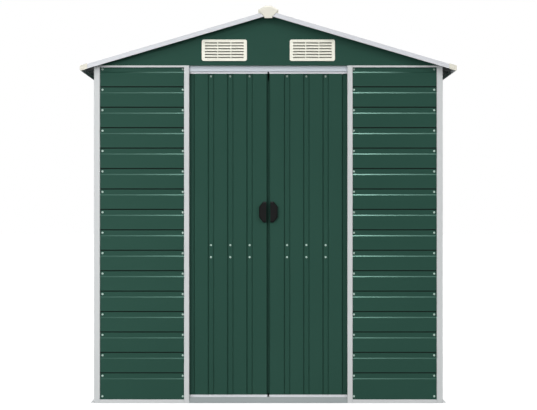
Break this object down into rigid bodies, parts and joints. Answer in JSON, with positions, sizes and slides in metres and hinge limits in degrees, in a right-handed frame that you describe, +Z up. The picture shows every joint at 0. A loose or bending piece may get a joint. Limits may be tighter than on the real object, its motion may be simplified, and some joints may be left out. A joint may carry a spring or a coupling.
{
  "type": "metal storage shed",
  "caption": "Gable-roofed garden shed of ribbed green steel sheet on a white frame, with louvred gable vents and a pair of sliding doors.",
  "frame": {"origin": "on the ground under the middle of the roof", "axes": "+Z up, +Y from the doors towards the back wall, +X to the right seen from the doors"},
  "size_m": [1.886, 2.154, 1.9975],
  "materials": {
    "green_sheet": "satin",
    "white_frame": "satin",
    "cream_moulding": "matte",
    "black_handle": "matte",
    "nylon_guide": "matte"
  },
  "bodies": {
    "shed": {"base_rail_front": "white_frame", "base_rail_back": "white_frame", "base_rail_left": "white_frame", "base_rail_right": "white_frame", "corner_post_front_left": "white_frame", "corner_post_front_right": "white_frame", "corner_post_back_left": "white_frame", "corner_post_back_right": "white_frame", "door_jamb_left": "white_frame", "door_jamb_right": "white_frame", "front_wall_left": "green_sheet", "front_wall_right": "green_sheet", "left_wall": "green_sheet", "right_wall": "green_sheet", "back_wall": "green_sheet", "wall_studs": "white_frame", "top_rail_front": "white_frame", "top_rail_back": "white_frame", "top_rail_left": "white_frame", "top_rail_right": "white_frame", "door_head_track": "white_frame", "door_floor_track": "white_frame", "door_sill": "white_frame", "front_gable": "green_sheet", "back_gable": "green_sheet", "front_vents": "cream_moulding", "back_vents": "cream_moulding", "ridge_beam": "white_frame", "purlins": "white_frame", "roof_left": "green_sheet", "roof_right": "green_sheet", "ridge_cap": "green_sheet", "roof_trim_front": "white_frame", "roof_trim_back": "white_frame", "eave_trims": "white_frame", "eave_corner_caps": "cream_moulding", "ridge_end_caps": "cream_moulding"},
    "left_door": {"left_door_panel": "green_sheet", "left_door_rails": "white_frame", "left_door_guides": "nylon_guide", "left_door_handle": "black_handle"},
    "right_door": {"right_door_panel": "green_sheet", "right_door_rails": "white_frame", "right_door_guides": "nylon_guide", "right_door_handle": "black_handle", "door_meeting_strip": "green_sheet"}
  },
  "joints": [
    {"name": "left_door_slide", "type": "slide", "parent": "shed", "child": "left_door", "axis": [-1, 0, 0], "range_m": [0, 0.347]},
    {"name": "right_door_slide", "type": "slide", "parent": "shed", "child": "right_door", "axis": [1, 0, 0], "range_m": [0, 0.347]}
  ]
}
